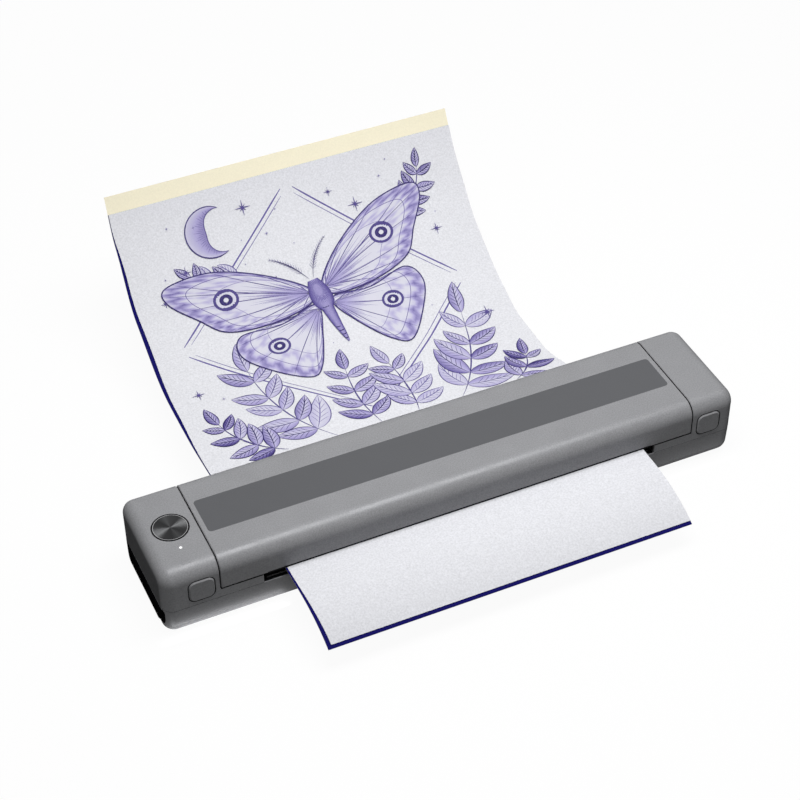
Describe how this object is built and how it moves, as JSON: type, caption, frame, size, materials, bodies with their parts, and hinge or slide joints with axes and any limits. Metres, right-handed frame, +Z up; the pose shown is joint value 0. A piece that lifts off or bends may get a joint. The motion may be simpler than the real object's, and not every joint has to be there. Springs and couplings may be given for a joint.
{
  "type": "tattoo stencil printer",
  "caption": "Portable thermal printer for stencil paper: a long bar with a hinged cover over a feed roller, a power button, release buttons and a sheet running through its slot.",
  "frame": {"origin": "the point of the table under the middle of the paper's width and of the body's depth, on the rest face of the middle foot", "axes": "+X along the body to its right end, -Y out of the front slot towards the user, +Z up"},
  "size_m": [0.3253, 0.2978, 0.0907],
  "materials": {
    "body_plastic": "fine satin, slightly metallic grey",
    "gloss_black": "polished black",
    "dark_inlay": "matte dark grey",
    "foot_rubber": "matte",
    "steel": "plated",
    "motor_can": "satin",
    "gear_plastic": "natural white acetal",
    "platen_rubber": "ground rubber",
    "heat_sink": "extruded",
    "head_ceramic": "glazed strip",
    "ribbon_film": "polyimide film",
    "inner_plastic": "moulded black",
    "battery_wrap": "shrink film",
    "circuit_board": "solder mask",
    "button_metal": "spun dark metal",
    "light_pipe": "clear white",
    "white_tissue": "grained tissue",
    "carbon_paper": "inked",
    "cream_paper": "plain"
  },
  "bodies": {
    "base": {"lower_case": "body_plastic", "left_end_housing": "body_plastic", "right_end_housing": "body_plastic", "left_end_panel": "gloss_black", "right_end_panel": "gloss_black", "rubber_feet": "foot_rubber", "left_hinge_pin": "steel", "right_hinge_pin": "steel", "left_side_frame": "steel", "right_side_frame": "steel", "gear_plate": "steel", "feed_motor": "motor_can", "idler_axle": "steel", "head_pivot_rod": "steel", "head_springs": "steel", "head_ribbon_cable": "ribbon_film", "front_paper_guide": "inner_plastic", "rear_paper_guide": "inner_plastic", "paper_sensor": "inner_plastic", "battery_pack": "battery_wrap", "main_board": "circuit_board", "board_components": "inner_plastic", "charge_board": "circuit_board", "usb_socket": "steel", "power_switch": "inner_plastic", "button_board": "circuit_board", "status_light_pipe": "light_pipe", "left_release_spring": "steel", "right_release_spring": "steel"},
    "cover": {"top_cover": "body_plastic", "cover_inlay": "dark_inlay", "left_platen_bush": "gear_plastic", "right_platen_bush": "gear_plastic"},
    "platen": {"platen_shaft": "steel", "platen_rubber": "platen_rubber", "platen_gear": "gear_plastic"},
    "idler": {"idler_gear": "gear_plastic"},
    "pinion": {"motor_pinion": "gear_plastic", "motor_shaft": "steel"},
    "print_head": {"head_heat_sink": "heat_sink", "head_ceramic": "head_ceramic"},
    "power_key": {"power_button": "button_metal"},
    "left_release": {"left_release_button": "body_plastic", "left_latch_slide": "gear_plastic"},
    "right_release": {"right_release_button": "body_plastic", "right_latch_slide": "gear_plastic"},
    "stencil_sheet": {"stencil_top_sheet": "white_tissue", "stencil_carbon_ply": "carbon_paper", "stencil_backing_ply": "cream_paper"}
  },
  "joints": [
    {"name": "cover_hinge", "type": "hinge", "parent": "base", "child": "cover", "pos_m": [0, 0.02855, 0.033], "axis": [-1, 0, 0], "range_deg": [0, 85]},
    {"name": "platen_spin", "type": "hinge", "parent": "cover", "child": "platen", "pos_m": [0, -0.008, 0.02942], "axis": [1, 0, 0], "continuous": true},
    {"name": "idler_spin", "type": "hinge", "parent": "base", "child": "idler", "pos_m": [0, -0.008, 0.01593], "axis": [1, 0, 0], "continuous": true},
    {"name": "pinion_spin", "type": "hinge", "parent": "base", "child": "pinion", "pos_m": [0, 0.0015, 0.01593], "axis": [1, 0, 0], "continuous": true},
    {"name": "head_tilt", "type": "hinge", "parent": "base", "child": "print_head", "pos_m": [0, 0.008, 0.01818], "axis": [1, 0, 0], "range_deg": [0, 1.5], "stiffness_Nm_per_rad": 3, "springref_deg": -3.44, "deforming": ["head_springs"]},
    {"name": "power_press", "type": "slide", "parent": "base", "child": "power_key", "axis": [0, 0, -1], "range_m": [0, 0.0006], "stiffness_N_per_m": 600, "springref_m": -0.001},
    {"name": "left_release_press", "type": "slide", "parent": "base", "child": "left_release", "axis": [0, 1, 0], "range_m": [0, 0.002], "stiffness_N_per_m": 500, "springref_m": -0.002, "deforming": ["left_release_spring"]},
    {"name": "right_release_press", "type": "slide", "parent": "base", "child": "right_release", "axis": [0, 1, 0], "range_m": [0, 0.002], "stiffness_N_per_m": 500, "springref_m": -0.002, "deforming": ["right_release_spring"]},
    {"name": "sheet_feed", "type": "slide", "parent": "base", "child": "stencil_sheet", "axis": [0, -1, 0], "range_m": [-0.01, 0.015]}
  ],
  "couplings": [
    {"joint": "idler_spin", "follows": "platen_spin", "ratio": -1.0769},
    {"joint": "pinion_spin", "follows": "platen_spin", "ratio": 2.3333}
  ]
}
